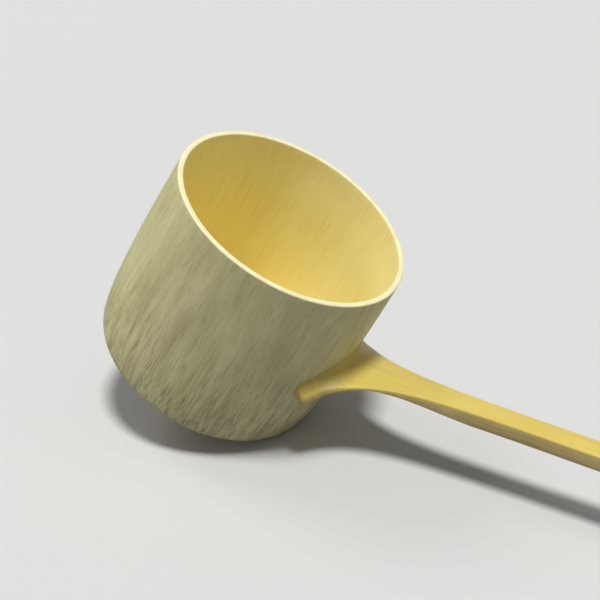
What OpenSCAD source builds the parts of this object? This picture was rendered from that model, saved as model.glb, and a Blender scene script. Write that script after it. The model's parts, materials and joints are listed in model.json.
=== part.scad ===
// Bamboo water ladle, lying on a flat surface on its cup and the far end of its handle.
// The cup is one length of culm whose natural joint is the floor. The handle is a split
// strip that flares into a crescent, and its tongue passes through the wall of the cup,
// where a bamboo peg holds it.
// Each piece is drawn in the cup's own frame, with the cup's axis along Z and the handle
// towards +X, and is then laid down as it rests.

/* [Cup] */
// Outside diameter at the rim
rim_d = 57; // [50:0.2:64]
// Outside diameter at the widest place, just above the joint of the culm
belly_d = 59.6; // [52:0.2:66]
// Height of the widest place above the underside
belly_h = 12; // [8:0.5:20]
// Outside diameter at the underside
foot_d = 57.6; // [50:0.2:64]
// Height of the cup
cup_h = 48.6; // [42:0.5:60]
// Diameter of the straight bore inside
bore_d = 53; // [46:0.2:56]
// Thickness of the wall at the rim, where it is scraped thin
lip_t = 1.3; // [0.9:0.1:2]
// Depth of the scraped stretch below the rim
lip_depth = 16; // [8:0.5:24]
// Thickness of the floor, which is the culm's own joint
floor_t = 3.2; // [2:0.1:5]
// Depth of the hollow under the floor
hollow_depth = 1.4; // [0.6:0.1:2.5]
// Width of the ring round that hollow
foot_ring_w = 6; // [3:0.2:9]
// Radius of the bottom edge
edge_round = 2.2; // [1:0.1:3]
// Radius where the floor meets the wall inside
floor_round = 3; // [1.5:0.1:5]

/* [Handle] */
// Length of the handle from the cup's wall to its end
handle_l = 356; // [240:1:420]
// Angle by which the handle rises from the cup's underside
rise = 25.7; // [16:0.1:34]
// Height above the underside at which the crown of the handle meets the wall
seat_h = 26.6; // [22:0.2:30]
// Width at the neck
neck_w = 5.8; // [5.2:0.1:9]
// Width at the far end
end_w = 7.6; // [6:0.1:12]
// Thickness along the handle
handle_t = 3.8; // [3.4:0.1:6]
// Radius of the culm that the strip was split from, which arches its upper face
arch_r = 28; // [24:0.5:40]
// Length of the slanted cut at the far end
end_cut = 6; // [2:0.5:10]
// Distance of the strip's own joint from the wall
joint_at = 196; // [120:1:230]
// Height of the ridge at that joint
joint_rise = 0.6; // [0.3:0.05:1]

/* [Crescent] */
// Width that the crescent adds to the neck, both sides together, at the wall
flare_w = 19.6; // [14:0.2:24]
// Distance in which the flare falls to about a third
flare_run = 10.3; // [8:0.1:16]
// Width over the two points of the crescent
points_w = 31.1; // [28:0.1:34]
// Distance along the crown, from its foot on the wall, at which the crescent's edges start to round over
shoulder_at = -2; // [-3:0.1:-1]
// Distance over which they round over to the points
shoulder_run = 2; // [1:0.1:3]
// Angle at which the points are cut off, from the line of the handle
point_cut = 27; // [10:1:60]
// Height by which the upper face sweeps up the wall
fillet_h = 3.3; // [1:0.1:4.5]
// Distance in which that sweep falls to about a third
fillet_run = 2.6; // [1.5:0.1:4]
// Thickness of the arched wings at the crown
wing_t = 1.6; // [1.4:0.1:2.4]
// Thickness of the wings at the points
wing_edge_t = 0.8; // [0.6:0.1:1.2]
// Distance from the wall at which the handle starts to thicken
swell_from = 8; // [4:0.5:14]
// Distance from the wall at which the handle has its whole thickness
swell_to = 34; // [24:0.5:50]
// Thickness of the rib under the crown of the crescent
rib_t = 3.2; // [3:0.1:3.4]

/* [Tongue and peg] */
// Width of the tongue
tongue_w = 4.2; // [3:0.1:4.8]
// Thickness of the tongue
tongue_t = 2.2; // [1.6:0.1:2.3]
// Distance from the crown down to the tongue
tongue_drop = 0.6; // [0.4:0.05:0.7]
// Length of the tongue inside the bore
tongue_in = 5; // [4:0.1:8]
// Diameter of the peg
peg_d = 2; // [1.4:0.1:2.2]
// Length of the peg
peg_l = 9.6; // [7:0.1:14]
// Length of the taper at each end of the peg
peg_taper = 1; // [0.4:0.1:1.8]

/* [Fits] */
// Gap all round the tongue in its slot
slot_gap = 0.05; // [0.02:0.01:0.15]
// Gap between the crescent and the wall
seat_gap = 0.05; // [0.02:0.01:0.15]
// Gap round the peg in the tongue, and between the peg and the wall
peg_gap = 0.05; // [0.02:0.01:0.1]

/* [Hidden] */
$fn = 96;
// Steps along a curved outline
wall_steps = 10;
flare_steps = 26;
fillet_rows = 24;
fillet_cols = 8;
// Room by which a cutting tool runs past the face it cuts
past = 1;

belly_r = belly_d / 2;
rim_r = rim_d / 2;
foot_r = foot_d / 2;
bore_r = bore_d / 2;
hollow_r = foot_r - foot_ring_w;
floor_h = hollow_depth + floor_t;
flare_end = flare_run * 6;
ridge_r = handle_t;

// Outside radius of the cup at a height, drawn in towards both ends
function wall_r(h) = h < belly_h
    ? belly_r - (belly_r - foot_r) * pow((belly_h - h) / belly_h, 2)
    : belly_r - (belly_r - rim_r) * pow((h - belly_h) / (cup_h - belly_h), 2);

// Smooth step from 0 to 1
function ease(x) = let (s = min(max(x, 0), 1)) s * s * (3 - 2 * s);

// Half width that the crescent adds at a distance from the wall, rounded over at its shoulders
function flare(u) = let (back = max(shoulder_at - u, 0))
    flare_w / 2 * exp(-max(u, shoulder_at) / flare_run) * (1 + back / flare_run) - bend * back * back;

// Half width and thickness of the handle at a distance from the wall
function half_w(u) = neck_w / 2 + (end_w - neck_w) / 2 * max(u, 0) / handle_l + flare(u);
function thick(u) = wing_t + (handle_t - wing_t) * ease((u - swell_from) / (swell_to - swell_from));

// Half width of the flare at the shoulder, and the bend that brings its edge to the points
shoulder_w = flare_w / 2 * exp(-shoulder_at / flare_run);
bend = (neck_w / 2 + shoulder_w * (1 + shoulder_run / flare_run) - points_w / 2) / pow(shoulder_run, 2);

// Distance from the wall of the points' outer corners, and how far their cut runs back into the wall
point_u = shoulder_at - shoulder_run;
point_run = 8;
back_u = point_u - point_run * cos(point_cut);

// Arch of the wings' underside, flatter than the upper face so that they thin towards the points
under_sag = arch_r - sqrt(pow(arch_r, 2) - pow(points_w / 2, 2)) - wing_t + wing_edge_t;
under_r = (pow(points_w / 2, 2) + pow(under_sag, 2)) / (2 * under_sag);

// Upper face of the crescent in the cup's frame, and how far it is swept up at a distance from the wall
function crown_h(x, y) = seat_h + (x - seat_r) * tan(rise) - (arch_r - sqrt(arch_r * arch_r - y * y)) / cos(rise);
function sweep_h(d) = fillet_h * (exp(-d / fillet_run) - exp(-fillet_end / fillet_run)) - fillet_sink;
fillet_end = fillet_run * 4;
fillet_sink = 0.05;

// Place of the handle's frame on the wall
seat_r = wall_r(seat_h);

// Resting tilt, at which the rounded foot and the handle's end touch the surface together
end_r = seat_r + handle_l * cos(rise) + handle_t * sin(rise);
end_h = seat_h + handle_l * sin(rise) - handle_t * cos(rise);
foot_cr = wall_r(edge_round) - edge_round;
reach_r = end_r - foot_cr;
reach_h = end_h - edge_round;
tilt = atan2(reach_h, reach_r) + asin(edge_round / norm([reach_r, reach_h]));
lift = foot_cr * sin(tilt) - edge_round * cos(tilt) + edge_round;

// Ends of the whole ladle along X, so that its middle comes to the origin
wall_hs = [for (i = [0:4 * wall_steps]) edge_round + (cup_h - edge_round) * i / (4 * wall_steps)];
x_low = min(concat([for (h = wall_hs) h * sin(tilt) - wall_r(h) * cos(tilt)],
                   [edge_round * sin(tilt) - foot_cr * cos(tilt) - edge_round]));
x_high = end_r * cos(tilt) + end_h * sin(tilt);
shift = -(x_low + x_high) / 2;

// From the cup's frame to the way the ladle lies
module lay_down() {
    translate([shift, 0, lift]) rotate([0, tilt, 0]) children();
}

// From the handle's frame, along its upper face from the wall, to the cup's frame
module on_wall() {
    translate([seat_r, 0, seat_h]) rotate([0, -rise, 0]) children();
}

// Half section of the culm outside, grown by a gap, with its rounded bottom edge
module culm_section(gap = 0) {
    above = [for (i = [0:wall_steps]) belly_h + (cup_h - belly_h) * i / wall_steps];
    below = [for (i = [0:wall_steps / 2]) edge_round + (belly_h - edge_round) * 2 * i / wall_steps];
    polygon(concat(
        [[0, -gap], [foot_cr, -gap], [foot_cr, edge_round]],
        [for (h = below) [wall_r(h) + gap, h]],
        [for (h = above) if (h > belly_h) [wall_r(h) + gap, h]],
        [[0, cup_h]]));
    intersection() {
        translate([foot_cr, edge_round]) circle(r = edge_round + gap);
        translate([0, -gap]) square([belly_r * 2, edge_round + gap]);
    }
}

// Half section of the room inside the cup, with the lip scraped thin and a rounded floor
module room_section() {
    difference() {
        union() {
            translate([0, floor_h]) square([bore_r, cup_h + past - floor_h]);
            polygon([
                [0, cup_h - lip_depth], [bore_r, cup_h - lip_depth],
                [rim_r - lip_t, cup_h], [rim_r - lip_t, cup_h + past], [0, cup_h + past]]);
        }
        difference() {
            translate([bore_r - floor_round, floor_h]) square([floor_round + past, floor_round]);
            translate([bore_r - floor_round, floor_h + floor_round]) circle(r = floor_round);
        }
    }
}

// Tongue of the handle, in the handle's frame, grown by a gap for its slot
module tongue(gap = 0) {
    back = (seat_r - bore_r + tongue_in) / cos(rise);
    translate([-back, -tongue_w / 2 - gap, -tongue_drop - tongue_t - gap])
        cube([back + past, tongue_w + 2 * gap, tongue_t + 2 * gap]);
}

// Peg standing through the tongue against the wall, in the cup's frame
peg_r = peg_d / 2;
peg_at = bore_r - peg_r - peg_gap;
peg_mid = seat_h - (seat_r - peg_at) * tan(rise) - (tongue_drop + tongue_t / 2) / cos(rise);

module cup() {
    color("wheat") lay_down() difference() {
        rotate_extrude() culm_section();
        rotate_extrude() room_section();
        translate([0, 0, -past]) cylinder(r = hollow_r, h = hollow_depth + past);
        on_wall() tongue(slot_gap);
    }
}

// Outline of the handle from above: the crescent's points, its flared edges and the square end
module handle_plan() {
    flare = [for (i = [0:flare_steps]) point_u + (flare_end - point_u) * pow(i / flare_steps, 1.5)];
    inner_w = points_w / 2 - point_run * sin(point_cut);
    polygon(concat(
        [[back_u, -inner_w], [back_u, inner_w]],
        [for (u = flare) [u, half_w(u)]],
        [[handle_l, half_w(handle_l)], [handle_l, -half_w(handle_l)]],
        [for (i = [flare_steps:-1:0]) [flare[i], -half_w(flare[i])]]));
}

// Outline of the handle from the side, open above its crown, nowhere thinner than a given size
module handle_side(least) {
    us = [for (i = [0:flare_steps]) back_u + (flare_end - back_u) * i / flare_steps];
    polygon(concat(
        [[back_u, past], [handle_l - end_cut * (1 + past / handle_t), past], [handle_l, -handle_t]],
        [for (i = [flare_steps:-1:0]) [us[i], -max(thick(us[i]), least)]]));
}

// A side outline drawn out across the handle
module across(width) {
    translate([0, width / 2, 0]) rotate([90, 0, 0]) linear_extrude(width) children();
}

// A section round the arch's axis drawn out along the handle
module along(from, to) {
    translate([from, 0, -arch_r]) rotate([0, 90, 0]) linear_extrude(to - from) children();
}

// Rounded ridge over the arch at the strip's own joint
module joint_ridge() {
    translate([joint_at, 0, -arch_r]) rotate([0, 90, 0]) rotate_extrude()
        translate([arch_r + joint_rise - ridge_r, 0]) circle(r = ridge_r);
}

// Everything under the outline of the handle from above
module under_plan() {
    translate([0, 0, -arch_r]) linear_extrude(arch_r + 2 * fillet_h) handle_plan();
}

// Sweep of the upper face up the wall, as a skin on the wings, in the cup's frame
module fillet() {
    ys = [for (i = [0:fillet_rows]) (i / fillet_rows - 0.5) * points_w];
    ds = [for (j = [0:fillet_cols]) (fillet_end + wing_t) * pow(j / fillet_cols, 1.5) - wing_t];
    xy = [for (y = ys) for (d = ds) [sqrt(pow(seat_r + d, 2) - y * y), y, max(d, 0)]];
    top = [for (p = xy) [p.x, p.y, crown_h(p.x, p.y) + sweep_h(p.z)]];
    low = [for (p = xy) [p.x, p.y, crown_h(p.x, p.y) - wing_edge_t / 2]];
    n = len(ds);
    size = len(xy);
    cells = [for (i = [0:fillet_rows - 1]) for (j = [0:fillet_cols - 1]) i * n + j];
    ends = [for (j = [0:fillet_cols - 1]) j];
    sides = [for (i = [0:fillet_rows - 1]) i * n];
    last = fillet_rows * n;
    polyhedron(concat(top, low), concat(
        [for (c = cells) [c, c + n, c + n + 1]],
        [for (c = cells) [c, c + n + 1, c + 1]],
        [for (c = cells) [size + c, size + c + n + 1, size + c + n]],
        [for (c = cells) [size + c, size + c + 1, size + c + n + 1]],
        [for (j = ends) each [[j, j + 1, size + j + 1], [j, size + j + 1, size + j]]],
        [for (j = ends) each [[last + j, size + last + j + 1, last + j + 1],
                              [last + j, size + last + j, size + last + j + 1]]],
        [for (i = sides) each [[i, size + i + n, i + n], [i, size + i, size + i + n]]],
        [for (i = sides) each [[i + n - 1, i + 2 * n - 1, size + i + 2 * n - 1],
                               [i + n - 1, size + i + 2 * n - 1, size + i + n - 1]]]));
}

// Strip as it is cut before it is fitted: the handle with its rib, the arched wings and the ridge
module strip() {
    intersection() {
        under_plan();
        union() {
            intersection() {
                along(back_u, handle_l) circle(r = arch_r);
                union() {
                    across(points_w + past) handle_side(wing_t);
                    across(neck_w) intersection() {
                        handle_side(rib_t);
                        translate([back_u, -2 * handle_t]) square([swell_to - back_u, 3 * handle_t]);
                    }
                }
            }
            along(back_u, flare_end) difference() {
                circle(r = arch_r);
                translate([wing_t + under_r - arch_r, 0]) circle(r = under_r);
            }
            intersection() {
                joint_ridge();
                translate([joint_at - ridge_r, -end_w, -handle_t / 2]) cube([2 * ridge_r, 2 * end_w, handle_t]);
            }
        }
    }
}

module handle() {
    color("burlywood") lay_down() difference() {
        union() {
            difference() {
                union() {
                    on_wall() strip();
                    intersection() {
                        fillet();
                        on_wall() under_plan();
                    }
                }
                rotate_extrude() culm_section(seat_gap);
            }
            on_wall() tongue();
        }
        translate([peg_at, 0, peg_mid - peg_l / 2]) cylinder(r = peg_r + peg_gap, h = peg_l);
    }
}

module peg() {
    color("tan") lay_down() translate([peg_at, 0, peg_mid - peg_l / 2]) {
        cylinder(r1 = peg_r * 0.6, r2 = peg_r, h = peg_taper);
        translate([0, 0, peg_taper]) cylinder(r = peg_r, h = peg_l - 2 * peg_taper);
        translate([0, 0, peg_l - peg_taper]) cylinder(r1 = peg_r, r2 = peg_r * 0.6, h = peg_taper);
    }
}

cup();
handle();
peg();
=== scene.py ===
"""Bamboo water ladle for tea: a scraped culm cup, a split strip handle and a smoked peg.

Each piece is shaped in the frame in which a maker would cut it: the cup and the peg along
the cup's axis, the handle along its own fibres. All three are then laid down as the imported
model lies, on the cup's foot and the far end of the handle. Lengths are in metres, but for
those of the fibre finishes, which are in millimetres.
"""

import json
import logging
import math
from dataclasses import dataclass, field
from enum import Enum, IntEnum
from typing import NamedTuple

import bpy
from mathutils import Matrix, Vector, noise


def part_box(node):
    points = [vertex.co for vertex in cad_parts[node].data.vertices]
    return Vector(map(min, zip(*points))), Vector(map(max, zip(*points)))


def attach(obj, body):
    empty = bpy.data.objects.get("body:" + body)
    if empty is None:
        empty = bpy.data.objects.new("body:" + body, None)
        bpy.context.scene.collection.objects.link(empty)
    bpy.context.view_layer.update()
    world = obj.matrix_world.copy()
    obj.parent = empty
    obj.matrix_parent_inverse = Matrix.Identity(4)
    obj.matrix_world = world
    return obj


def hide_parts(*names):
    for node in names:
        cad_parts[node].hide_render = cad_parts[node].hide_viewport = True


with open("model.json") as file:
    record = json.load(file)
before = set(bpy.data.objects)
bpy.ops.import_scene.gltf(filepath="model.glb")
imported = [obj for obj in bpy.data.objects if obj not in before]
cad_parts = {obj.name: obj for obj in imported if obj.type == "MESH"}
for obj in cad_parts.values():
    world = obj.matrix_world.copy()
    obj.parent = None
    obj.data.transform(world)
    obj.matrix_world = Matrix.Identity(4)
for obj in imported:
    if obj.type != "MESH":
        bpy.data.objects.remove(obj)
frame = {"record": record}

log = logging.getLogger("ladle")

MM = 0.001
BODY = "root"
OWN = "own"
SHARP_FROM = math.radians(48)
HALVINGS = 30
SETTLINGS = 24

Point = tuple[float, float, float]
Colour = tuple[float, float, float, float]
Pair = tuple[float, float]
Socket = bpy.types.NodeSocket


def tone(red: int, green: int, blue: int) -> Colour:
    """Turns a colour as seen on a screen into the linear colour that a shader takes.

    Args:
        red: Red from 0 to 255.
        green: Green from 0 to 255.
        blue: Blue from 0 to 255.

    Returns:
        The linear colour with full alpha.
    """
    knee, foot, gain, offset, power = 0.04045, 12.92, 1.055, 0.055, 2.4
    parts = []
    for level in (red, green, blue):
        share = level / 255
        parts.append(share / foot if share <= knee else ((share + offset) / gain) ** power)
    return parts[0], parts[1], parts[2], 1.0


def ease(share: float) -> float:
    """Gives the smooth step from 0 to 1."""
    held = min(max(share, 0.0), 1.0)
    return held * held * (3 - 2 * held)


def spread(start: float, stop: float, count: int) -> list[float]:
    """Spaces numbers evenly, with both ends included."""
    return [start + (stop - start) * step / (count - 1) for step in range(count)]


def bump(offset: float, reach: float) -> float:
    """Gives a smooth bump of height 1."""
    return math.exp(-((offset / reach) ** 2))


def wander(x: float, y: float, z: float, seed: float) -> float:
    """Reads smooth noise between about -1 and 1."""
    return noise.noise(Vector((x + seed, y - seed, z + 2 * seed)))


@dataclass(frozen=True)
class Lay:
    """How the ladle lies: where the middle of the cup's underside is, and which way the mouth faces."""

    foot: Vector
    axis: Vector

    @classmethod
    def from_record(cls, record: dict) -> "Lay":
        """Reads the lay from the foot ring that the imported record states.

        Args:
            record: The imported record.

        Returns:
            The lay. The ring's own point stands off the axis along Y alone.
        """
        ring = next(mount for mount in record["mounts"] if mount["name"] == "foot_ring")
        across, _, height = ring["pos_m"]
        return cls(Vector((across, 0, height)), -Vector(ring["axis"]).normalized())

    def matrix(self) -> Matrix:
        """Gives the matrix from the cup's frame to the frame in which the ladle lies.

        Returns:
            A turn about Y and a shift.
        """
        side = Vector((0, 1, 0))
        ahead = side.cross(self.axis)
        turn = Matrix((ahead, side, self.axis)).transposed().to_4x4()
        return Matrix.Translation(self.foot) @ turn


class Grain(Enum):
    """Which way the fibres run in a piece's own frame."""

    ALONG_HANDLE = 0
    ALONG_CUP = 2

    def stretch(self, width: float, length: float) -> Point:
        """Gives the scale that draws noise out into fibres.

        Args:
            width: Width of one fibre in millimetres.
            length: Length over which it keeps its tone, in millimetres.

        Returns:
            Scale for a mapping node, in noise cells for each metre.
        """
        scale = [1 / (width * MM)] * 3
        scale[self.value] = 1 / (length * MM)
        return scale[0], scale[1], scale[2]


def add_node(
    tree: bpy.types.NodeTree, kind: str, inputs: dict[str | int, object], **settings: object
) -> bpy.types.Node:
    """Adds one shader node.

    Args:
        tree: The tree that it goes into.
        kind: Its type.
        inputs: For each input, another node's output or a plain value.
        **settings: The node's own settings, such as its operation.

    Returns:
        The node.
    """
    node = tree.nodes.new(kind)
    for name, value in settings.items():
        setattr(node, name, value)
    for name, value in inputs.items():
        if isinstance(value, Socket):
            tree.links.new(value, node.inputs[name])
        else:
            node.inputs[name].default_value = value
    return node


def stand(name: str, data: bpy.types.ID) -> bpy.types.Object:
    """Puts a mesh, a lamp or a camera into the scene.

    Args:
        name: Name of the object.
        data: What it holds.

    Returns:
        The object.
    """
    held = bpy.data.objects.new(name, data)
    bpy.context.scene.collection.objects.link(held)
    return held


class Bench:
    """A material's node tree, with short calls for the nodes that the finishes need."""

    def __init__(self, name: str) -> None:
        """Starts a material with a principled shader.

        Args:
            name: Name of the material.
        """
        self.material = bpy.data.materials.new(name)
        self.material.use_nodes = True
        self.tree = self.material.node_tree
        self.tree.nodes.clear()
        self.shader = self.add("ShaderNodeBsdfPrincipled", {})
        self.add("ShaderNodeOutputMaterial", {"Surface": self.shader.outputs["BSDF"]})
        self.coords = self.add("ShaderNodeAttribute", {}, attribute_name=OWN).outputs["Vector"]

    def add(self, kind: str, inputs: dict[str | int, object], **settings: object) -> bpy.types.Node:
        """Adds a node to this material, as add_node does."""
        return add_node(self.tree, kind, inputs, **settings)

    def stretched(self, scale: Point, turn: float) -> Socket:
        """Turns the piece's own coordinates about Z, then scales them to cells for each metre."""
        inputs = {"Scale": scale, "Rotation": (0, 0, turn), "Vector": self.coords}
        return self.add("ShaderNodeMapping", inputs).outputs["Vector"]

    def cloud(self, scale: Point, detail: float = 2.0, rough: float = 0.5, warp: float = 0.0,
              turn: float = 0.0) -> Socket:
        """Adds noise.

        Args:
            scale: Cells for each metre, along X, Y and Z.
            detail: Octaves.
            rough: Weight of the finer octaves.
            warp: Distortion.
            turn: Turn about Z in radians.

        Returns:
            Noise from 0 to 1.
        """
        inputs = {"Vector": self.stretched(scale, turn), "Scale": 1.0, "Detail": detail,
                  "Roughness": rough, "Distortion": warp}
        return self.add("ShaderNodeTexNoise", inputs).outputs["Fac"]

    def dots(self, scale: Point) -> Socket:
        """Adds scattered cells, and gives the distance from the nearest cell's middle."""
        inputs = {"Vector": self.stretched(scale, 0.0), "Scale": 1.0, "Randomness": 0.8}
        return self.add("ShaderNodeTexVoronoi", inputs).outputs["Distance"]

    def span(
        self, value: object, low: float, high: float, start: float = 0.0, stop: float = 1.0
    ) -> Socket:
        """Maps one range smoothly onto another, clamped.

        Args:
            value: What is mapped.
            low: Value that becomes start.
            high: Value that becomes stop.
            start: First result.
            stop: Last result.

        Returns:
            The mapped value.
        """
        inputs = {"Value": value, "From Min": low, "From Max": high, "To Min": start, "To Max": stop}
        node = self.add("ShaderNodeMapRange", inputs, interpolation_type="SMOOTHSTEP")
        return node.outputs["Result"]

    def sum(self, kind: str, first: object, second: object = 0.0) -> Socket:
        """Does one step of arithmetic, named as in MULTIPLY, on two numbers or outputs."""
        return self.add("ShaderNodeMath", {0: first, 1: second}, operation=kind).outputs["Value"]

    def blend(self, share: object, under: object, over: object) -> Socket:
        """Mixes two colours, where share says how much of the second one shows."""
        return self.add("ShaderNodeMix", {0: share, 6: under, 7: over}, data_type="RGBA").outputs[2]

    def parts(self) -> list[Socket]:
        """Splits the piece's own coordinates into X, Y and Z in metres."""
        return list(self.add("ShaderNodeSeparateXYZ", {0: self.coords}).outputs)

    def radius(self) -> Socket:
        """Measures the distance from the piece's Z axis.

        Returns:
            The distance in metres.
        """
        x, y, _ = self.parts()
        squares = self.sum("ADD", self.sum("MULTIPLY", x, x), self.sum("MULTIPLY", y, y))
        return self.sum("SQRT", squares)

    def centred(self, value: object, gain: object) -> Socket:
        """Moves noise from 0 to 1 so that it lies about nought, and multiplies it by the gain."""
        return self.sum("MULTIPLY", self.sum("SUBTRACT", value, 0.5), gain)

    def finish(
        self, colour: object, gloss: object, rough: Pair, specular: float
    ) -> bpy.types.Material:
        """Sets the shader.

        Args:
            colour: Base colour.
            gloss: Noise that the roughness follows.
            rough: Roughness where that noise is low, and where it is high.
            specular: Specular level.

        Returns:
            The finished material.
        """
        roughness = self.span(gloss, 0.3, 0.7, *rough)
        for name, value in (("Base Color", colour), ("Roughness", roughness)):
            self.tree.links.new(value, self.shader.inputs[name])
        self.shader.inputs["Specular IOR Level"].default_value = specular
        return self.material

    def relief(self, height: object, depth: float) -> None:
        """Bumps the surface, to a real depth where the height goes from 0 to 1."""
        bump_node = self.add("ShaderNodeBump", {"Strength": 1.0, "Distance": depth, "Height": height})
        self.tree.links.new(bump_node.outputs["Normal"], self.shader.inputs["Normal"])


def even(size: float) -> Point:
    """Gives the scale of noise whose cells are as large one way as another."""
    return (1 / size,) * 3


@dataclass(frozen=True)
class FibreFinish:
    """Bamboo seen along its fibres: scraped, polished or split.

    All sizes but joint_at are in millimetres. Of fibres, broad streaks and flecks the pair gives
    width and length, of fade and of the dark band the places along the grain where they start and end.
    The dark band darkens the colour towards its start, mottled.
    """

    name: str
    grain: Grain
    pale: Colour
    deep: Colour
    dark: Colour
    fibres: Pair = (0.35, 14)
    contrast: float = 0.6
    broad: Pair = (1.8, 40)
    broad_share: float = 0.45
    flecks: Pair = (0.22, 5)
    fleck_share: float = 0.5
    fleck_cut: Pair = (0.56, 0.7)
    fleck_turn: float = 0.4
    fade: Pair | None = None
    faded: float = 0.35
    dark_band: Pair | None = None
    dark_band_share: float = 0.4
    joint_at: float = 0.0
    joint_w: float = 1.4
    mottle: float = 9
    mottle_long: float = 2.5
    rough: Pair = (0.45, 0.6)
    depth: float = 0.05
    specular: float = 0.4

    def make(self) -> bpy.types.Material:
        """Builds the material.

        Returns:
            The material, with fibres, flecks, mottling, uneven gloss and relief.
        """
        bench, grain = Bench(self.name), self.grain
        fine = bench.cloud(grain.stretch(*self.fibres), 3, 0.6)
        broad = bench.cloud(grain.stretch(*self.broad))
        patch = bench.cloud(grain.stretch(self.mottle, self.mottle * self.mottle_long))
        threads = bench.cloud(grain.stretch(*self.flecks), 1, turn=self.fleck_turn)
        along = bench.parts()[grain.value]
        mixed = bench.sum("ADD", bench.sum("MULTIPLY", fine, 1 - self.broad_share),
                          bench.sum("MULTIPLY", broad, self.broad_share))
        swing = bench.centred(mixed, 2.2 * self.contrast)
        marks = bench.span(threads, *self.fleck_cut, 0.0, self.fleck_share)
        if self.fade:
            worn = bench.span(along, *(place * MM for place in self.fade), 1.0, self.faded)
            swing, marks = bench.sum("MULTIPLY", swing, worn), bench.sum("MULTIPLY", marks, worn)
        shade = bench.sum("ADD", 0.6, bench.sum("ADD", swing, bench.centred(patch, 0.7)))
        body = bench.blend(bench.span(shade, 0.0, 1.0), self.deep, self.pale)
        # Dark band: the colour darker towards the band's start, mottled by the patches.
        if self.dark_band:
            banded = bench.span(along, *(place * MM for place in self.dark_band), self.dark_band_share, 0.0)
            banded = bench.sum("MULTIPLY", banded, bench.span(patch, 0.3, 0.7, 0.5, 1.0))
            body = bench.blend(banded, body, self.dark)
        if self.joint_at:
            width = self.joint_w * MM
            past = bench.sum("SUBTRACT", along, self.joint_at)
            off = bench.sum("ABSOLUTE", bench.sum("ADD", past, bench.sum("MULTIPLY", patch, width)))
            body = bench.blend(bench.span(off, width * 0.2, width, 0.7, 0.0), body, self.dark)
        bench.relief(bench.sum("SUBTRACT", mixed, bench.sum("MULTIPLY", marks, 0.35)), self.depth * MM)
        return bench.finish(bench.blend(marks, body, self.dark), mixed, self.rough, self.specular)


@dataclass(frozen=True)
class EndGrainFinish:
    """Bamboo cut across its fibres: pale ground with the cut ends of the fibre bundles."""

    name: str
    ground: Colour
    bundle: Colour
    bundle_w: float = 0.5 * MM
    bundle_share: float = 0.7
    rough: Pair = (0.5, 0.7)
    depth: float = 0.04 * MM

    def make(self) -> bpy.types.Material:
        """Builds the material.

        Returns:
            The material, with bundle ends as small dark dots.
        """
        bench = Bench(self.name)
        ends = bench.span(bench.dots(even(self.bundle_w)), 0.18, 0.36, self.bundle_share, 0.0)
        soft = bench.cloud(even(8 * self.bundle_w))
        ground = bench.blend(bench.span(soft, 0.3, 0.7, 0.0, 0.2), self.ground, self.bundle)
        bench.relief(bench.sum("SUBTRACT", soft, ends), self.depth)
        return bench.finish(bench.blend(ends, ground, self.bundle), soft, self.rough, 0.35)


@dataclass(frozen=True)
class SeptumFinish:
    """The joint of the culm seen face on: a smooth plate with faint rings and tangled veins."""

    name: str
    middle: Colour
    edge: Colour
    vein: Colour
    edge_r: float
    ring_w: float = 2.3 * MM
    tangle_w: float = 2.6 * MM
    grit_w: float = 0.35 * MM
    vein_share: float = 0.4
    rough: Pair = (0.5, 0.68)
    depth: float = 0.06 * MM

    def make(self) -> bpy.types.Material:
        """Builds the material.

        Returns:
            The material, with its tone changing towards the wall.
        """
        bench = Bench(self.name)
        out = bench.radius()
        sway = bench.cloud(even(3 * self.tangle_w))
        spaced = bench.sum("DIVIDE", out, self.ring_w)
        waved = bench.sum("ADD", spaced, bench.sum("MULTIPLY", sway, 1.2))
        rings = bench.span(bench.sum("SINE", bench.sum("MULTIPLY", waved, math.tau)), -1.0, 1.0)
        tangle = bench.cloud(even(self.tangle_w), 3, 0.55, 0.9)
        off = bench.sum("ABSOLUTE", bench.sum("SUBTRACT", tangle, 0.5))
        veins = bench.span(off, 0.0, 0.04, self.vein_share, 0.0)
        grit = bench.cloud(even(self.grit_w), 2, 0.6)
        ground = bench.blend(bench.span(out, self.edge_r * 0.3, self.edge_r), self.middle, self.edge)
        shaded = bench.blend(bench.span(rings, 0.0, 1.0, 0.0, 0.12), ground, self.vein)
        dusted = bench.blend(bench.span(grit, 0.45, 0.75, 0.0, 0.2), shaded, self.vein)
        grain = bench.sum("SUBTRACT", grit, veins)
        height = bench.sum("ADD", bench.sum("MULTIPLY", rings, 0.25), grain)
        bench.relief(height, self.depth)
        return bench.finish(bench.blend(veins, dusted, self.vein), grit, self.rough, 0.35)


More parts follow.
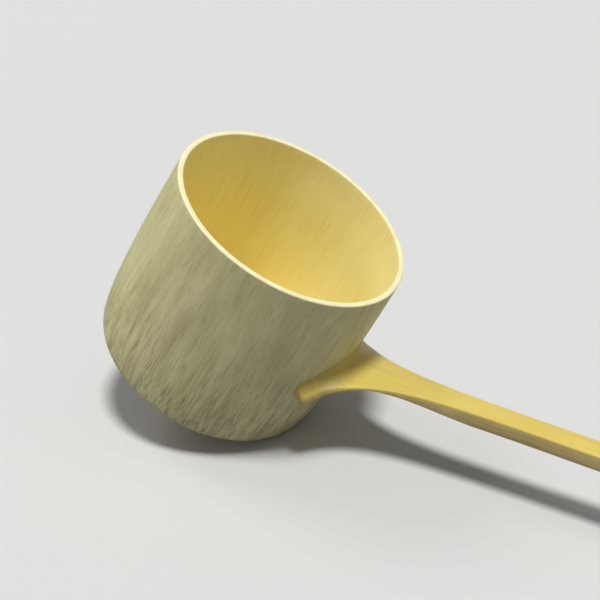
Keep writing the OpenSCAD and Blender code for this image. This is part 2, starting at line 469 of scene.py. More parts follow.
class Draft:
    """A mesh being drawn: its points, its faces and the finish of each face."""

    def __init__(self) -> None:
        """Starts an empty mesh."""
        self.points: list[Point] = []
        self.faces: list[tuple[int, ...]] = []
        self.finishes: list[int] = []

    def row(self, points: list[Point]) -> list[int]:
        """Adds points.

        Args:
            points: The points in order.

        Returns:
            Their numbers.
        """
        first = len(self.points)
        self.points.extend(points)
        return list(range(first, first + len(points)))

    def face(self, corners: tuple[int, ...], finish: int) -> None:
        """Adds one face."""
        self.faces.append(corners)
        self.finishes.append(finish)

    def band(self, low: list[int], high: list[int], finish: int, skip: range = range(0)) -> None:
        """Joins two closed rows of points with quads.

        Args:
            low: Row on the right as the rows are walked.
            high: Row on the left.
            finish: Which of the piece's materials the band has.
            skip: Numbers of the quads that are left out.
        """
        for step, here in enumerate(low):
            after = (step + 1) % len(low)
            if step not in skip:
                self.face((here, low[after], high[after], high[step]), finish)

    def cap(self, ring: list[int], middle: Point, finish: int, flip: bool = False) -> None:
        """Closes a ring with a fan.

        Args:
            ring: Numbers of the ring's points.
            middle: Point in the middle of the fan.
            finish: Which of the piece's materials the fan has.
            flip: Whether the fan faces the other way.
        """
        centre = self.row([middle])[0]
        for step, here in enumerate(ring):
            after = ring[(step + 1) % len(ring)]
            self.face((after, here, centre) if flip else (here, after, centre), finish)

    def build(self, name: str, materials: list[bpy.types.Material], place: Matrix) -> bpy.types.Object:
        """Makes the object.

        Args:
            name: Name of the piece.
            materials: Materials, in the order of the finish numbers.
            place: Matrix from the piece's own frame to the model's.

        Returns:
            The object, smooth with sharp edges kept. Each point keeps its place in the piece's
            own frame, which the finishes take their grain from.
        """
        mesh = bpy.data.meshes.new(name)
        mesh.from_pydata([place @ Vector(point) for point in self.points], [], self.faces)
        kept = mesh.attributes.new(OWN, "FLOAT_VECTOR", "POINT")
        kept.data.foreach_set("vector", [part for point in self.points for part in point])
        mesh.polygons.foreach_set("material_index", self.finishes)
        for material in materials:
            mesh.materials.append(material)
        mesh.shade_smooth()
        mesh.set_sharp_from_angle(angle=SHARP_FROM)
        return stand(name, mesh)


@dataclass(frozen=True)
class CulmWall:
    """Outside of the cup's culm, drawn in a little towards both ends."""

    rim_r: float = 28.5 * MM
    belly_r: float = 29.8 * MM
    foot_r: float = 28.8 * MM
    belly_h: float = 12 * MM
    height: float = 48.6 * MM

    def radius(self, height: float) -> float:
        """Gives the outside radius.

        Args:
            height: Height above the underside.

        Returns:
            The radius there.
        """
        if height < self.belly_h:
            return self.belly_r - (self.belly_r - self.foot_r) * (1 - height / self.belly_h) ** 2
        share = (height - self.belly_h) / (self.height - self.belly_h)
        return self.belly_r - (self.belly_r - self.rim_r) * share ** 2


@dataclass(frozen=True)
class Seat:
    """Where the handle's frame stands on the cup's wall, and the sizes that both pieces share."""

    wall: CulmWall = field(default_factory=CulmWall)
    bore_r: float = 26.5 * MM
    rise: float = math.radians(25.7)
    height: float = 26.6 * MM
    gap: float = 0.05 * MM
    tongue_w: float = 4.2 * MM
    tongue_t: float = 2.2 * MM
    tongue_drop: float = 0.6 * MM
    tongue_in: float = 5 * MM
    peg_r: float = 1.0 * MM

    @property
    def radius(self) -> float:
        """Gives the wall's radius at the seat."""
        return self.wall.radius(self.height)

    @property
    def peg_at(self) -> float:
        """Gives the distance of the peg from the cup's axis."""
        return self.bore_r - self.peg_r - self.gap

    def to_cup(self, point: Point) -> Point:
        """Takes a point from the handle's frame to the cup's.

        Args:
            point: Along the handle, across it, and up from its crown.

        Returns:
            The same point in the cup's frame.
        """
        along, across, up = point
        cosine, sine = math.cos(self.rise), math.sin(self.rise)
        out = self.radius + along * cosine - up * sine
        return out, across, self.height + along * sine + up * cosine

    def off_wall(self, point: Point) -> float:
        """Measures how far a point of the handle's frame stands off the wall."""
        x, y, z = self.to_cup(point)
        return math.hypot(x, y) - self.wall.radius(min(max(z, 0.0), self.wall.height))

    def slot_height(self, radius: float, up: float) -> float:
        """Gives the height in the cup of a line along the handle."""
        return self.height - (self.radius - radius) * math.tan(self.rise) + up / math.cos(self.rise)

    def matrix(self) -> Matrix:
        """Gives the matrix from the handle's frame to the cup's."""
        place = Matrix.Translation((self.radius, 0, self.height))
        return place @ Matrix.Rotation(-self.rise, 4, "Y")


class CupFace(IntEnum):
    """Parts of the cup that are finished differently."""

    OUTSIDE = 0
    RIM = 1
    INSIDE = 2
    FLOOR = 3
    RING = 4
    HOLLOW = 5


Section = list[tuple[float, float, CupFace]]


def arc(r: float, z: float, size: float, turns: list[float], face: CupFace) -> Section:
    """Draws an arc of the section."""
    return [(r + size * math.cos(turn), z + size * math.sin(turn), face) for turn in turns]


@dataclass
class Cup:
    """The cup: one length of culm with its own joint as the floor, and the slot for the tongue."""

    seat: Seat
    lip_t: float = 1.3 * MM
    lip_depth: float = 16 * MM
    floor_h: float = 4.6 * MM
    floor_round: float = 3 * MM
    hollow: float = 1.4 * MM
    ring_w: float = 6 * MM
    edge: float = 2.2 * MM
    lip_round: float = 0.32 * MM
    dish: float = 0.5 * MM
    columns: int = 288
    uneven: float = 0.045 * MM
    rim_uneven: float = 0.05 * MM
    ripple: float = 0.05 * MM
    floor_rings: float = 31
    under_rings: float = 27
    under_dish: float = 0.2 * MM
    eye: float = 0.8 * MM
    inner_step: float = 1.5 * MM
    outer_step: float = 1.2 * MM
    draft: Draft = field(default_factory=Draft)

    @property
    def slot_side(self) -> float:
        """Gives the angle from the slot's middle to its side."""
        return math.asin((self.seat.tongue_w / 2 + self.seat.gap) / self.seat.bore_r)

    @property
    def slot_reach(self) -> int:
        """Gives the number of columns from the slot's middle to its side."""
        return max(1, round(self.slot_side / (math.tau / self.columns)))

    def angles(self) -> list[float]:
        """Spaces the columns round the cup, with two on the sides of the slot.

        Returns:
            The angles, from the handle's side round.
        """
        step = math.tau / self.columns
        turns = []
        for column in range(self.columns):
            at = column - self.columns // 2
            on_side = abs(at) == self.slot_reach
            turns.append(math.copysign(self.slot_side, at) if on_side else at * step)
        return turns

    def slot_columns(self) -> range:
        """Gives the numbers of the columns between the slot's sides."""
        middle = self.columns // 2
        return range(middle - self.slot_reach, middle + self.slot_reach)

    def slot_heights(self, radius: float) -> Pair:
        """Gives the slot's lower and upper edge at a radius.

        Args:
            radius: Distance from the cup's axis.

        Returns:
            Both heights.
        """
        seat = self.seat
        low = seat.slot_height(radius, -seat.tongue_drop - seat.tongue_t - seat.gap)
        return low, seat.slot_height(radius, -seat.tongue_drop + seat.gap)

    def heights(self, start: float, stop: float, step: float, radius: float) -> list[float]:
        """Spaces heights up a wall, with two on the slot's edges and none between them.

        Args:
            start: Lowest height.
            stop: Highest height.
            step: Spacing.
            radius: Radius at which the slot is cut there.

        Returns:
            The heights, rising.
        """
        low, high = self.slot_heights(radius)
        room = step / 3
        plain = spread(start, stop, max(3, round((stop - start) / step) + 1))
        kept = [h for h in plain if h < low - room or h > high + room]
        return sorted(kept + [low, high])

    def plate(self, share: float, level: float, dish: float, rings: float) -> float:
        """Gives the height of the joint's plate, dished and faintly ringed."""
        return level + dish * (1 - share ** 2) + self.ripple * math.sin(share * rings) * share

    def profile(self) -> Section:
        """Draws half the section, from the middle of the floor over the rim to the middle underneath.

        Returns:
            Radius, height and the face that starts there.
        """
        wall, bore = self.seat.wall, self.seat.bore_r
        flat_r = bore - self.floor_round
        lip_r = wall.rim_r - self.lip_t
        taper_h = wall.height - self.lip_depth
        top = wall.height - self.lip_round
        quarter = math.pi / 2
        points: Section = []
        for r in spread(self.eye, flat_r, 22)[:-1]:
            height = self.plate(r / flat_r, self.floor_h, -self.dish, self.floor_rings)
            points.append((r, height, CupFace.FLOOR))
        round_z = self.floor_h + self.floor_round
        points += arc(flat_r, round_z, self.floor_round, spread(-quarter, 0, 9)[:-1], CupFace.INSIDE)
        for z in self.heights(round_z, top, self.inner_step, bore):
            taper = max(0.0, (z - taper_h) / self.lip_depth)
            points.append((bore + (lip_r - bore) * ease(taper) * taper ** 0.2, z, CupFace.INSIDE))
        for r, turns in ((lip_r + self.lip_round, spread(math.pi, quarter, 6)[1:]),
                         (wall.radius(top) - self.lip_round, spread(quarter, 0, 6)[:-1])):
            points += arc(r, top, self.lip_round, turns, CupFace.RIM)
        for z in reversed(self.heights(self.edge, top, self.outer_step, self.seat.radius)):
            points.append((wall.radius(z), z, CupFace.OUTSIDE))
        round_r = wall.radius(self.edge) - self.edge
        points += arc(round_r, self.edge, self.edge, spread(0, -quarter, 9)[1:], CupFace.OUTSIDE)
        points[-1] = (*points[-1][:2], CupFace.RING)
        hollow_r = wall.foot_r - self.ring_w
        points.append(((round_r + hollow_r) / 2, 0.0, CupFace.RING))
        points.append((hollow_r, 0.0, CupFace.HOLLOW))
        for share in (0.15, 0.4, 0.7, 1.0):
            r = hollow_r - 0.9 * MM * share ** 2
            points.append((r, self.hollow * math.sin(share * quarter), CupFace.HOLLOW))
        for r in spread(hollow_r - 1.2 * MM, self.eye, 18):
            height = self.plate(r / hollow_r, self.hollow, self.under_dish, self.under_rings)
            points.append((r, height, CupFace.HOLLOW))
        return points

    def ring(self, r: float, z: float, face: CupFace) -> list[Point]:
        """Turns one point of the section round the axis, with the culm's own unevenness.

        Args:
            r: Radius of the point.
            z: Its height.
            face: The face that it is on.

        Returns:
            The points round the cup.
        """
        low, high = self.slot_heights(r)
        points = []
        for turn in self.angles():
            x, y = math.cos(turn), math.sin(turn)
            out = 0.0
            if face in (CupFace.OUTSIDE, CupFace.INSIDE, CupFace.RIM) and not low <= z <= high:
                flat = wander(x * 4.5, y * 4.5, z / (40 * MM), 3.0)
                strokes = wander(x * 14, y * 14, z / (16 * MM), 7.0)
                out = self.uneven * (flat + 0.45 * strokes) * (1.0 if face is CupFace.OUTSIDE else 0.5)
                out = min(out, self.uneven)
            up = 0.0
            if face is CupFace.RIM:
                up = self.rim_uneven * wander(x * 2.2, y * 2.2, 0.0, 11.0)
            points.append(((r + out) * x, (r + out) * y, z + up))
        return points

    def cut_slot(self, rows: list[list[int]], section: Section) -> set[int]:
        """Lines the slot between the inside and the outside.

        Args:
            rows: Numbers of the points, ring by ring.
            section: The section that the rings were turned from.

        Returns:
            The numbers of the bands that the slot goes through.
        """
        seat = self.seat
        openings = []
        for radius, face in ((seat.bore_r, CupFace.INSIDE), (seat.radius, CupFace.OUTSIDE)):
            edges = self.slot_heights(radius)
            found = [i for i, (_, z, kind) in enumerate(section) if kind is face and z in edges]
            openings.append(found)
        (in_low, in_high), (out_high, out_low) = openings
        columns = self.slot_columns()
        for first, second, flip in ((in_low, out_low, True), (in_high, out_high, False)):
            for column in columns:
                inner, outer = rows[first], rows[second]
                quad = (inner[column], outer[column], outer[column + 1], inner[column + 1])
                self.draft.face(quad if flip else quad[::-1], CupFace.RING)
        for column, flip in ((columns.start, False), (columns.stop, True)):
            quad = tuple(rows[ring][column] for ring in (in_low, out_low, out_high, in_high))
            self.draft.face(quad if flip else quad[::-1], CupFace.RING)
        return {in_low, out_high}

    def materials(self) -> list[bpy.types.Material]:
        """Makes the cup's finishes.

        Returns:
            The materials in the order of CupFace.
        """
        # The outer wall is darker towards its foot, over its lowest 3.5 mm.
        scraped = FibreFinish(
            "scraped_culm", Grain.ALONG_CUP,
            tone(238, 231, 173), tone(182, 172, 118), tone(134, 118, 74),
            fibres=(0.55, 9), contrast=1.15, broad=(1.7, 13), broad_share=0.5, flecks=(0.42, 5.5),
            fleck_share=0.52, fade=(3, 32), dark_band=(0, 3.5), mottle=7, rough=(0.55, 0.75), depth=0.09,
            specular=0.3)
        honey = FibreFinish(
            "bare_inside", Grain.ALONG_CUP,
            tone(255, 245, 176), tone(250, 231, 146), tone(234, 205, 110),
            fibres=(0.45, 22), contrast=0.55, flecks=(0.4, 12), fleck_share=0.25, mottle=14,
            rough=(0.38, 0.52), depth=0.03, specular=0.45)
        rim = EndGrainFinish("cut_rim", tone(255, 249, 200), tone(214, 186, 124), bundle_share=0.3)
        floor = SeptumFinish(
            "joint_inside", tone(238, 222, 156), tone(236, 218, 142), tone(196, 164, 96), 24 * MM)
        ring = EndGrainFinish("cut_foot", tone(224, 206, 146), tone(140, 104, 56))
        hollow = SeptumFinish(
            "joint_under", tone(224, 204, 144), tone(190, 162, 104), tone(142, 110, 64), 23 * MM)
        return [finish.make() for finish in (scraped, rim, honey, floor, ring, hollow)]

    def build(self, place: Matrix) -> bpy.types.Object:
        """Builds the cup.

        Args:
            place: Matrix from the cup's frame to the model's.

        Returns:
            The cup, standing for its node.
        """
        section = self.profile()
        rows = [self.draft.row(self.ring(r, z, face)) for r, z, face in section]
        slotted = self.cut_slot(rows, section)
        for number in range(len(rows) - 1):
            skip = self.slot_columns() if number in slotted else range(0)
            self.draft.band(rows[number + 1], rows[number], section[number][2], skip=skip)
        self.draft.cap(rows[0], (0.0, 0.0, self.floor_h - self.dish), CupFace.FLOOR)
        self.draft.cap(rows[-1], (0.0, 0.0, self.hollow + self.under_dish), CupFace.HOLLOW, flip=True)
        cup = self.draft.build("ladle_cup", self.materials(), place)
        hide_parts("cup")
        return cup


class StripFace(IntEnum):
    """Parts of the handle that are finished differently."""

    SKIN = 0
    SPLIT = 1
    UNDER = 2
    END = 3


class Lane(NamedTuple):
    """A line that runs the length of the strip, on its upper face or, if below, on its underside.

    Share is of the half width. Inset from the side and depth below the face, or above the
    underside, are shares of the edge's round.
    """

    share: float
    inset: float
    depth: float
    face: StripFace
    below: bool


@dataclass
class Handle:
    """The handle: a split strip with its crescent, its own joint, its end cut and its tongue."""

    seat: Seat
    length: float = 356 * MM
    neck_w: float = 5.8 * MM
    end_w: float = 7.6 * MM
    thick: float = 3.8 * MM
    arch_r: float = 28 * MM
    end_cut: float = 6 * MM
    joint_at: float = 196 * MM
    joint_rise: float = 0.6 * MM
    flare_w: float = 19.6 * MM
    flare_run: float = 10.3 * MM
    points_w: float = 31.1 * MM
    shoulder_at: float = -2 * MM
    shoulder_run: float = 2 * MM
    point_cut: float = math.radians(27)
    fillet_h: float = 3.3 * MM
    fillet_run: float = 2.6 * MM
    wing_t: float = 1.6 * MM
    wing_edge_t: float = 0.8 * MM
    edge_t: float = 0.72 * MM
    bevel_w: float = 4 * MM
    swell_from: float = 8 * MM
    swell_to: float = 34 * MM
    rib_t: float = 3.2 * MM
    edge_round: float = 0.42 * MM
    under_round: float = 0.7
    knuckle: float = 0.16 * MM
    groove: float = 0.22 * MM
    scar: float = 0.12 * MM
    stub: float = 0.15 * MM
    rib_side: float = 1.4 * MM
    uneven_w: float = 0.05 * MM
    uneven_t: float = 0.035 * MM
    top_lines: int = 29
    upper_round: int = 4
    lower_round: int = 3
    draft: Draft = field(default_factory=Draft)

    @property
    def point_at(self) -> float:
        """Gives the distance from the wall of the points' outer corners."""
        return self.shoulder_at - self.shoulder_run

    @property
    def bend(self) -> float:
        """Gives the bend that brings the crescent's edge from its shoulder to its point.

        Returns:
            The bend, as added width for each square of the distance past the shoulder.
        """
        shoulder_w = self.flare_w / 2 * math.exp(-self.shoulder_at / self.flare_run)
        straight = self.neck_w / 2 + shoulder_w * (1 + self.shoulder_run / self.flare_run)
        return (straight - self.points_w / 2) / self.shoulder_run ** 2

    def flare(self, along: float) -> float:
        """Gives half the width that the crescent adds.

        Args:
            along: Distance from the wall.

        Returns:
            The added half width, rounded over at the shoulder of each point.
        """
        past = max(self.shoulder_at - along, 0.0)
        here = self.flare_w / 2 * math.exp(-max(along, self.shoulder_at) / self.flare_run)
        return here * (1 + past / self.flare_run) - past ** 2 * self.bend

    def half_width(self, along: float) -> float:
        """Gives half the width seen from above.

        Args:
            along: Distance from the wall.

        Returns:
            Half the width, cut off beyond the points.
        """
        cut = max(self.point_at - along, 0.0)
        reach = max(along, self.point_at)
        widening = (self.end_w - self.neck_w) / 2 * max(along, 0.0) / self.length
        knuckle = self.knuckle * bump(along - self.joint_at, 2.2 * MM)
        uneven = self.uneven_w * wander(along / (23 * MM), 0.0, 0.0, 5.0) * ease(along / (30 * MM))
        plain = self.neck_w / 2 + self.flare(reach) - cut * math.tan(self.point_cut)
        return plain + widening + knuckle + uneven

    @property
    def under_r(self) -> float:
        """Gives the radius of the arch under the wings, flatter than the upper face."""
        fall = self.sag(self.points_w / 2, self.arch_r) - self.wing_t + self.wing_edge_t
        return ((self.points_w / 2) ** 2 + fall ** 2) / (2 * fall)

    def sag(self, across: float, radius: float) -> float:
        """Gives how far an arch has fallen from its crown."""
        return radius - math.sqrt(radius ** 2 - across ** 2)

    def sweep(self, off: float) -> float:
        """Gives how far the upper face is swept up the wall."""
        return self.fillet_h * math.exp(-max(off, 0.0) / self.fillet_run)

    def crown(self, along: float, across: float) -> float:
        """Gives the upper face.

        Args:
            along: Distance from the wall.
            across: Distance from the middle.

        Returns:
            Height above the plain crown line.
        """
        base = -self.sag(across, self.arch_r)
        up = base
        if along < 8 * self.fillet_run:
            for _ in range(SETTLINGS):
                lift = self.sweep(self.seat.off_wall((along, across, up))) * math.cos(self.seat.rise)
                up = 0.5 * up + 0.5 * (base + lift)
        far = along - self.joint_at
        ridge = self.joint_rise * bump(far, 1.15 * MM) - self.groove * bump(far + 2.6 * MM, 0.9 * MM)
        fade = self.scar * bump(far - 6 * MM, 6 * MM)
        uneven = self.uneven_t * wander(along / (17 * MM), across / (4 * MM), 0.0, 9.0)
        return up + ridge - fade + uneven * ease(along / (25 * MM))

    def under(self, along: float, across: float) -> float:
        """Gives the underside.

        Args:
            along: Distance from the wall.
            across: Distance from the middle.

        Returns:
            Height above the plain crown line, so below nought.
        """
        inward = ease((self.half_width(along) - abs(across)) / self.bevel_w)
        edge = -self.sag(across, self.arch_r) - self.edge_t
        wing = edge + (-self.wing_t - self.sag(across, self.under_r) - edge) * inward
        swell = (along - self.swell_from) / (self.swell_to - self.swell_from)
        core = -self.wing_t - (self.thick - self.wing_t) * ease(swell)
        side = 1 - ease((abs(across) - self.neck_w / 2) / self.rib_side + 0.5)
        rib = -self.wing_t - (self.rib_t - self.wing_t) * side
        stub = self.stub * bump(along - self.joint_at, 1.6 * MM)
        return min(wing, core, rib) - stub

    @property
    def side_lines(self) -> int:
        """Gives the number of lines in each side, from the upper to the lower face."""
        return self.upper_round + self.lower_round

    def edge(self, side: float, face: StripFace, below: bool) -> list[Lane]:
        """Rounds one edge of the strip."""
        turns = spread(0, math.pi / 2, (self.lower_round if below else self.upper_round) + 1)
        return [Lane(side, 1 - math.sin(turn), 1 - math.cos(turn), face, below) for turn in turns[1:]]

    def lanes(self) -> list[Lane]:
        """Lists the lines that run the length of the strip, once round its section.

        Returns:
            The lines, each with the face that follows it.
        """
        skin, split = StripFace.SKIN, StripFace.SPLIT
        top = [Lane(share, 1.0, 0.0, skin, False) for share in spread(1, -1, self.top_lines)]
        top += self.edge(-1.0, skin, False)
        top[-1] = top[-1]._replace(face=split)
        bottom = self.edge(-1.0, split, True)[::-1]
        under = StripFace.UNDER
        bottom += [Lane(share, 1.0, 0.0, under, True) for share in spread(-1, 1, self.top_lines)]
        bottom[-1] = bottom[-1]._replace(face=split)
        return top + bottom + self.edge(1.0, split, True) + self.edge(1.0, skin, False)[::-1]

    def spot(self, line: Lane, along: float) -> Point:
        """Places one point of the strip's surface.

        Args:
            line: The line that it is on.
            along: Distance from the wall.

        Returns:
            The point in the handle's frame.
        """
        across = line.share * (self.half_width(along) - line.inset * self.edge_round)
        if line.below:
            up = self.under(along, across) + line.depth * self.under_round * self.edge_round
            return along, across, up
        return along, across, self.crown(along, across) - line.depth * self.edge_round

    def start_of(self, line: Lane) -> float:
        """Finds where a line of the strip meets the wall.

        Args:
            line: The line.

        Returns:
            The distance along the handle at which it is one gap off the wall.
        """
        inside, outside = -9 * MM, 6 * MM
        for _ in range(HALVINGS):
            middle = (inside + outside) / 2
            if self.seat.off_wall(self.spot(line, middle)) < self.seat.gap:
                inside = middle
            else:
                outside = middle
        return outside

    def stations(self) -> list[float]:
        """Spaces the sections along the strip, closer where it changes.

        Returns:
            Distances along the handle past the blended stretch at the wall.
        """
        neck = spread(12 * MM, 60 * MM, 33)
        run = spread(60 * MM, self.joint_at - 12 * MM, 30)[1:]
        joint = spread(self.joint_at - 12 * MM, self.joint_at + 14 * MM, 66)[1:]
        rest = spread(self.joint_at + 14 * MM, self.length - self.end_cut - 1 * MM, 36)[1:]
        return neck + run + joint + rest

    def shares_at_wall(self, corner: float) -> list[float]:
        """Spaces the sections of the blended stretch, with one on the points' outer corners."""
        return spread(0, corner, 7) + spread(corner, 1, 22)[1:-1]

    def end_at(self, point: Point) -> float:
        """Gives where the slanted cut ends a line."""
        return self.length - self.end_cut * (1 + point[2] / self.thick)

    def sections(self) -> list[list[Point]]:
        """Draws every section of the strip.

        Returns:
            Sections from the wall to the end, each a closed loop.
        """
        lines = self.lanes()
        starts = [self.start_of(line) for line in lines]
        first = self.stations()[0]
        edge_start = min(starts)
        corner = (self.point_at - edge_start) / (first - edge_start)
        loops = []
        for share in self.shares_at_wall(corner):
            loops.append([
                self.spot(line, start + (first - start) * share) for line, start in zip(lines, starts)])
        for along in self.stations():
            loops.append([self.spot(line, along) for line in lines])
        last = self.stations()[-1]
        for share in (0.25, 0.5, 0.75, 0.93, 1.0):
            loop = []
            for line in lines:
                end = self.end_at(self.spot(line, last))
                loop.append(self.spot(line, last + (end - last) * share))
            loops.append(loop)
        return loops

    def close_ends(self, first: list[int], last: list[int]) -> None:
        """Closes the end on the wall, line by line so that it follows the wall, and the cut end.

        Args:
            first: Numbers of the first section's points.
            last: Numbers of the last section's points.
        """
        top, side = self.top_lines, self.side_lines
        below = top + side
        for step in range(top - 1):
            under = below + top - 1 - step
            quad = (first[step], first[under], first[under - 1], first[step + 1])
            self.draft.face(quad, StripFace.UNDER)
        self.draft.face(tuple(reversed(first[top - 1:below + 1])), StripFace.UNDER)
        self.draft.face(tuple(reversed(first[below + top - 1:] + first[:1])), StripFace.UNDER)
        middle = sum((Vector(self.draft.points[number]) for number in last), Vector()) / len(last)
        self.draft.cap(last, (middle.x, middle.y, middle.z), StripFace.END)

    def tongue(self) -> None:
        """Adds the tongue, with the hole for the peg and a softened end."""
        seat = self.seat
        back = (seat.radius - seat.bore_r + seat.tongue_in) / math.cos(seat.rise)
        half, ahead, nick = seat.tongue_w / 2, 1 * MM, 0.35 * MM
        levels = (-seat.tongue_drop, -seat.tongue_drop - seat.tongue_t)
        hole_r = seat.peg_r + seat.gap
        around = 64
        corners = [(-back, nick - half), (nick - back, -half), (ahead, -half), (ahead, half),
                   (nick - back, half), (-back, half - nick)]
        rims, holes = [], []
        for level in levels:
            middle = (seat.peg_at - seat.radius + level * math.sin(seat.rise)) / math.cos(seat.rise)
            rim, hole = [], []
            for step in range(around):
                turn = math.tau * step / around
                dx, dy = math.cos(turn), math.sin(turn)
                rim.append((*self.ray_to(corners, middle, dx, dy), level))
                hole.append((middle + hole_r * dx / math.cos(seat.rise), hole_r * dy, level))
            rims.append(self.draft.row(rim))
            holes.append(self.draft.row(hole))
        loops = (rims[0], holes[0], holes[1], rims[1])
        for low, high in zip(loops, loops[1:] + loops[:1]):
            self.draft.band(low, high, StripFace.UNDER)

    @staticmethod
    def ray_to(corners: list[Pair], middle: float, dx: float, dy: float) -> Pair:
        """Finds where a ray from the peg's hole leaves the tongue's outline.

        Args:
            corners: Corners of the outline, anticlockwise.
            middle: Place of the hole along the handle.
            dx: Direction of the ray along the handle.
            dy: Direction of the ray across it.

        Returns:
            The point on the outline.
        """
        reaches = []
        for (x0, y0), (x1, y1) in zip(corners, corners[1:] + corners[:1]):
            ex, ey = x1 - x0, y1 - y0
            cross = dx * ey - dy * ex
            if cross > 0:
                reaches.append(((x0 - middle) * ey - y0 * ex) / cross)
        return middle + min(reaches) * dx, min(reaches) * dy

    def materials(self) -> list[bpy.types.Material]:
        """Makes the handle's finishes.

        Returns:
            The materials in the order of StripFace.
        """
        skin = FibreFinish(
            "strip_skin", Grain.ALONG_HANDLE,
            tone(224, 202, 104), tone(205, 178, 82), tone(181, 148, 64),
            fibres=(0.3, 30), contrast=0.55, flecks=(0.25, 18), fleck_share=0.3, dark_band=(340, 220),
            dark_band_share=0.3, joint_at=self.joint_at, mottle=8, rough=(0.36, 0.5), depth=0.025,
            specular=0.35)
        split = FibreFinish(
            "strip_side", Grain.ALONG_HANDLE,
            tone(228, 206, 138), tone(196, 168, 102), tone(150, 118, 66),
            fibres=(0.3, 25), contrast=0.9, flecks=(0.22, 20), fleck_share=0.55,
            joint_at=self.joint_at, mottle=8, rough=(0.5, 0.68), depth=0.06, specular=0.35)
        under = FibreFinish(
            "strip_underside", Grain.ALONG_HANDLE,
            tone(222, 200, 138), tone(194, 164, 100), tone(150, 116, 66),
            fibres=(0.45, 20), contrast=0.8, flecks=(0.35, 16),
            joint_at=self.joint_at, joint_w=2.2, rough=(0.55, 0.7), depth=0.06, specular=0.3)
        end = EndGrainFinish("strip_end", tone(220, 196, 132), tone(136, 98, 52))
        return [finish.make() for finish in (skin, split, under, end)]

    def build(self, place: Matrix) -> bpy.types.Object:
        """Builds the handle.

        Args:
            place: Matrix from the handle's frame to the model's.

        Returns:
            The handle, standing for its node.
        """
        lines = self.lanes()
        rows = [self.draft.row(loop) for loop in self.sections()]
        for here, after in zip(rows, rows[1:]):
            for step, line in enumerate(lines):
                beside = (step + 1) % len(lines)
                self.draft.face((here[step], here[beside], after[beside], after[step]), line.face)
        self.close_ends(rows[0], rows[-1])
        self.tongue()
        handle = self.draft.build("ladle_handle", self.materials(), place)
        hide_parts("handle")
        return handle


@dataclass
class Peg:
    """The peg: a whittled pin of smoked bamboo through the tongue, hard against the wall."""

    seat: Seat
    length: float = 9.6 * MM
    taper: float = 1 * MM
    facets: int = 9
    facet_cut: float = 0.05
    uneven: float = 0.01
    crown: float = 0.02 * MM
    columns: int = 36
    draft: Draft = field(default_factory=Draft)

    def ring(self, radius: float, height: float) -> list[Point]:
        """Draws one ring of the peg, with the flats that the knife left.

        Args:
            radius: Greatest radius there.
            height: Height above the lower end.

        Returns:
            The ring's points.
        """
        points = []
        for step in range(self.columns):
            turn = math.tau * step / self.columns
            within = (turn * self.facets / math.tau) % 1 - 0.5
            knife = 1 - self.facet_cut * (1 - (2 * within) ** 2)
            flat = knife + self.uneven * wander(turn, height / (3 * MM), 0.0, 2.0)
            points.append((radius * flat * math.cos(turn), radius * flat * math.sin(turn), height))
        return points

    def build(self, place: Matrix) -> bpy.types.Object:
        """Builds the peg.

        Args:
            place: Matrix from the cup's frame to the model's.

        Returns:
            The peg, standing for its node.
        """
        low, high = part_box("peg")
        centre = place.inverted() @ ((low + high) / 2)
        seat_r = self.seat.peg_r
        shape = [(0.5, 0.0), (0.6, 0.03), (0.8, 0.4), (0.97, 1.0)]
        heights = [(share, self.taper * rise) for share, rise in shape]
        body = [(1.0, h) for h in spread(1.6 * self.taper, self.length - 1.6 * self.taper, 9)]
        tail = [(share, self.length - h) for share, h in reversed(heights)]
        rows = [self.draft.row(self.ring(seat_r * share, h)) for share, h in heights + body + tail]
        for under, over in zip(rows, rows[1:]):
            self.draft.band(under, over, 0)
        self.draft.cap(rows[0], (0.0, 0.0, -self.crown), 1, flip=True)
        self.draft.cap(rows[-1], (0.0, 0.0, self.length + self.crown), 1)
        smoked = FibreFinish(
            "smoked_peg", Grain.ALONG_CUP, tone(176, 136, 78), tone(136, 96, 50), tone(84, 54, 28),
            fibres=(0.18, 5), contrast=0.9, flecks=(0.15, 4), fleck_share=0.6, mottle=3,
            rough=(0.4, 0.6), depth=0.03)
        ends = EndGrainFinish("smoked_peg_end", tone(160, 122, 72), tone(84, 54, 28), bundle_w=0.3 * MM)
        at = Matrix.Translation(centre - Vector((0, 0, self.length / 2)))
        peg = self.draft.build("ladle_peg", [smoked.make(), ends.make()], place @ at)
        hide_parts("peg")
        return peg


def away_from(azimuth: float, elevation: float) -> Vector:
    """Gives the way that a lamp or the camera stands off."""
    level = math.cos(elevation)
    return Vector((level * math.sin(azimuth), -level * math.cos(azimuth), math.sin(elevation)))


def facing(away: Vector) -> Matrix:
    """Gives the turn of a lamp or camera that looks back along a direction."""
    return away.to_track_quat("Z", "Y").to_matrix().to_4x4()


@dataclass(frozen=True)
class View:
    """The camera, by the point that it faces and the way that it stands off."""

    target: Point = (-159.3 * MM, 0.0, 34.45 * MM)
    distance: float = 235.5 * MM
    azimuth: float = math.radians(28.2)
    elevation: float = math.radians(26.13)
    roll: float = math.radians(2.14)
    lens: float = 60.0
    sensor: float = 36.0
    nearest: float = 10 * MM

    def place(self) -> None:
        """Adds the camera."""
        away = away_from(self.azimuth, self.elevation)
        data = bpy.data.cameras.new("camera")
        data.lens, data.sensor_width, data.clip_start = self.lens, self.sensor, self.nearest
        camera = stand("camera", data)
        tipped = facing(away) @ Matrix.Rotation(self.roll, 4, "Z")
        camera.matrix_world = Matrix.Translation(Vector(self.target) + away * self.distance) @ tipped
        bpy.context.scene.camera = camera


@dataclass(frozen=True)
class Lamp:
    """A far lamp behind a large soft screen, so that the whole floor is lit alike."""

    name: str
    azimuth: float
    elevation: float
    softness: float
    strength: float

    def place(self) -> None:
        """Adds the lamp."""
        data = bpy.data.lights.new(self.name, "SUN")
        data.angle, data.energy = self.softness, self.strength
        away = away_from(self.azimuth, self.elevation)
        stand(self.name, data).matrix_world = Matrix.Translation(away) @ facing(away)


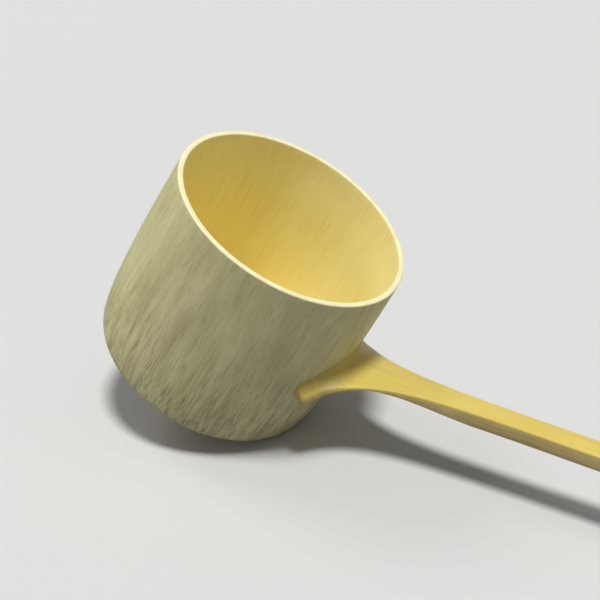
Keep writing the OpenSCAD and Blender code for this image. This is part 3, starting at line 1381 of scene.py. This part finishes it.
def shown(tree: bpy.types.NodeTree) -> Socket:
    """Tells the rays that show the backdrop, straight or mirrored, from all others.

    Args:
        tree: Node tree of the floor or the room.

    Returns:
        1 for a ray that shows the backdrop, otherwise 0.
    """
    path = tree.nodes.new("ShaderNodeLightPath")
    any_of = path.outputs["Is Camera Ray"]
    for kind in ("Is Glossy Ray", "Is Transmission Ray"):
        pair = {0: any_of, 1: path.outputs[kind]}
        any_of = add_node(tree, "ShaderNodeMath", pair, operation="MAXIMUM").outputs[0]
    return any_of


@dataclass(frozen=True)
class Studio:
    """The plain pale floor, the soft light and the view.

    The floor is seen in floor_tone and lights the ladle in the darker floor_glow. Past its edge
    the room is seen in floor_tone too, at floor_level, and lights the ladle in sky_tone.
    """

    floor_half: float = 4.0
    floor_tone: Colour = field(default_factory=lambda: tone(214, 214, 212))
    floor_glow: Colour = field(default_factory=lambda: tone(138, 140, 148))
    floor_level: float = 1.13
    sky_tone: Colour = field(default_factory=lambda: tone(250, 250, 255))
    sky_strength: float = 0.2
    lamps: tuple[Lamp, ...] = (
        Lamp("key", math.radians(42), math.radians(74.5), math.radians(12), 2.58),
        Lamp("fill", math.radians(-95), math.radians(48), math.radians(24), 0.5),
    )

    def floor(self) -> None:
        """Lays the floor, which stays apart from the ladle's body."""
        half = self.floor_half
        sheet = Draft()
        corners = [(-half, -half, 0.0), (half, -half, 0.0), (half, half, 0.0), (-half, half, 0.0)]
        sheet.face(tuple(sheet.row(corners)), 0)
        bench = Bench("floor_paint")
        grain = bench.cloud(even(25 * MM))
        colour = bench.blend(shown(bench.tree), self.floor_glow, self.floor_tone)
        paint = bench.finish(colour, grain, (0.75, 0.85), 0.2)
        sheet.build("floor", [paint], Matrix.Identity(4))

    def sky(self) -> None:
        """Lights the room softly, and shows a pale ground past the floor."""
        world = bpy.data.worlds.new("room")
        bpy.context.scene.world = world
        world.use_nodes = True
        tree = world.node_tree
        tree.nodes.clear()
        grounds = []
        for colour, strength in (
                (self.sky_tone, self.sky_strength), (self.floor_tone, self.floor_level)):
            node = add_node(tree, "ShaderNodeBackground", {"Color": colour, "Strength": strength})
            grounds.append(node.outputs[0])
        light, ground = grounds
        either = add_node(tree, "ShaderNodeMixShader", {0: shown(tree), 1: light, 2: ground})
        add_node(tree, "ShaderNodeOutputWorld", {"Surface": either.outputs[0]})

    def set_up(self) -> None:
        """Builds the floor, the light and the camera."""
        self.floor()
        self.sky()
        for fixture in (*self.lamps, View()):
            fixture.place()
        bpy.context.scene.view_settings.view_transform = "Standard"


def main() -> None:
    """Builds the ladle piece by piece, lights it and logs each piece's face count."""
    logging.basicConfig(level=logging.INFO, format="%(name)s: %(message)s")
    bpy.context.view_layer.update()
    lay = Lay.from_record(frame["record"]).matrix()
    seat = Seat()
    pieces = (
        Cup(seat).build(lay),
        Handle(seat).build(lay @ seat.matrix()),
        Peg(seat).build(lay),
    )
    for piece in pieces:
        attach(piece, BODY)
        log.info("%s: %d faces", piece.name, len(piece.data.polygons))
    Studio().set_up()
    bpy.context.view_layer.update()


if __name__ == "__main__":
    main()
